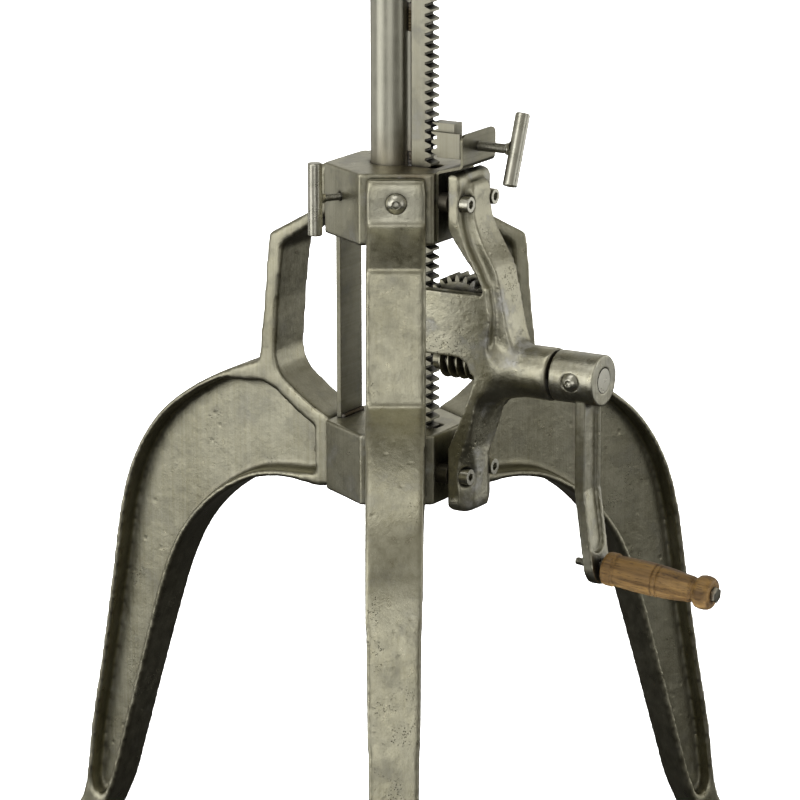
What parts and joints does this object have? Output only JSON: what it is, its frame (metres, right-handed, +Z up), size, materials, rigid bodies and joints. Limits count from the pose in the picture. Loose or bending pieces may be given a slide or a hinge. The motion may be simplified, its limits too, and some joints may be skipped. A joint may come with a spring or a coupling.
{
  "type": "crank table base",
  "caption": "Cast-iron tripod table base: I-section legs on hexagonal collars, tube column with a rack lifted by a crank, worm and wheel, with a toothed pawl lock",
  "frame": {"origin": "on the floor, on the common axis of the two hexagonal collars", "axes": "+Z up the column, the front leg towards -Y, the gear bracket and crank out along (0.866, -0.5, 0)"},
  "size_m": [0.6186, 0.5356, 0.896],
  "materials": {
    "cast_iron": "cast and brushed, nickel-toned, dark in its corners",
    "plate_steel": "cut plate and flat bar, brushed",
    "tube_steel": "drawn tube, turned and polished",
    "gear_steel": "cut teeth, oiled",
    "screw_steel": "machine screws, nuts and rods",
    "weld_steel": "weld beads with heat tint",
    "spacer_steel": "washers and spacers, oxidised",
    "bronze": "plain bearing bronze",
    "plug_plastic": "black moulded plug",
    "grip_wood": "turned, oiled, open grain"
  },
  "bodies": {
    "base": {"upper_collar": "cast_iron", "lower_collar": "cast_iron", "spacer_bar": "plate_steel", "spacer_bar_welds": "weld_steel", "leg_front": "cast_iron", "leg_right": "cast_iron", "leg_left": "cast_iron", "leg_upper_screws": "screw_steel", "leg_lower_screws": "screw_steel", "gear_bracket": "cast_iron", "bracket_spacers_upper": "spacer_steel", "bracket_spacers_lower": "spacer_steel", "bracket_screws_upper": "screw_steel", "bracket_screws_lower": "screw_steel", "shaft_bushes": "bronze", "wheel_axle": "screw_steel", "axle_clip": "spacer_steel", "wheel_washers": "spacer_steel", "pawl_bracket": "plate_steel", "pawl_nut": "screw_steel"},
    "column": {"column_tube": "tube_steel", "column_end_plug": "plug_plastic", "rack": "gear_steel", "rack_weld_tabs": "weld_steel", "top_plate": "plate_steel", "top_plate_gussets": "plate_steel"},
    "wheel": {"worm_wheel": "gear_steel"},
    "crank": {"worm": "gear_steel", "crank_shaft": "screw_steel", "worm_pin": "screw_steel", "thrust_washer": "bronze", "shaft_collar": "spacer_steel", "crank_arm": "cast_iron", "hub_screw": "screw_steel", "grip_bolt": "screw_steel", "grip_washer": "spacer_steel"},
    "grip": {"wood_grip": "grip_wood"},
    "collar_lock": {"collar_screw": "screw_steel"},
    "collar_lock_bar": {"collar_t_bar": "screw_steel"},
    "pawl": {"pawl_block": "gear_steel", "pawl_screw": "screw_steel"},
    "pawl_bar": {"pawl_t_bar": "screw_steel"}
  },
  "joints": [
    {"name": "column_lift", "type": "slide", "parent": "base", "child": "column", "axis": [0, 0, 1], "range_m": [-0.2, 0.1]},
    {"name": "wheel_turn", "type": "hinge", "parent": "base", "child": "wheel", "pos_m": [0.05499, -0.03175, 0.512], "axis": [0.5, 0.866, 0], "range_deg": [-382, 191]},
    {"name": "crank_turn", "type": "hinge", "parent": "base", "child": "crank", "pos_m": [0.10392, -0.06, 0.4705], "axis": [0.866, -0.5, 0], "range_deg": [-9168, 4584]},
    {"name": "grip_spin", "type": "hinge", "parent": "crank", "child": "grip", "pos_m": [0.16454, -0.095, 0.3175], "axis": [0.8631, -0.4983, -0.0819], "continuous": true},
    {"name": "collar_screw_travel", "type": "slide", "parent": "base", "child": "collar_lock", "axis": [-0.866, -0.5, 0], "range_m": [-0.0025, 0.012]},
    {"name": "collar_screw_turn", "type": "hinge", "parent": "collar_lock", "child": "collar_lock_bar", "pos_m": [-0.06576, -0.0345, 0.606], "axis": [-0.866, -0.5, 0], "range_deg": [-901, 4321]},
    {"name": "pawl_travel", "type": "slide", "parent": "base", "child": "pawl", "axis": [0.866, -0.5, 0], "range_m": [0, 0.004]},
    {"name": "pawl_screw_turn", "type": "hinge", "parent": "pawl", "child": "pawl_bar", "pos_m": [0.09613, -0.0555, 0.6505], "axis": [0.866, -0.5, 0], "range_deg": [-1, 1153]}
  ],
  "couplings": [
    {"joint": "wheel_turn", "follows": "column_lift", "rad_per_m": 33.333},
    {"joint": "crank_turn", "follows": "column_lift", "rad_per_m": 800},
    {"joint": "collar_screw_turn", "follows": "collar_screw_travel", "rad_per_m": 6283.2},
    {"joint": "pawl_screw_turn", "follows": "pawl_travel", "rad_per_m": 5026.5}
  ]
}
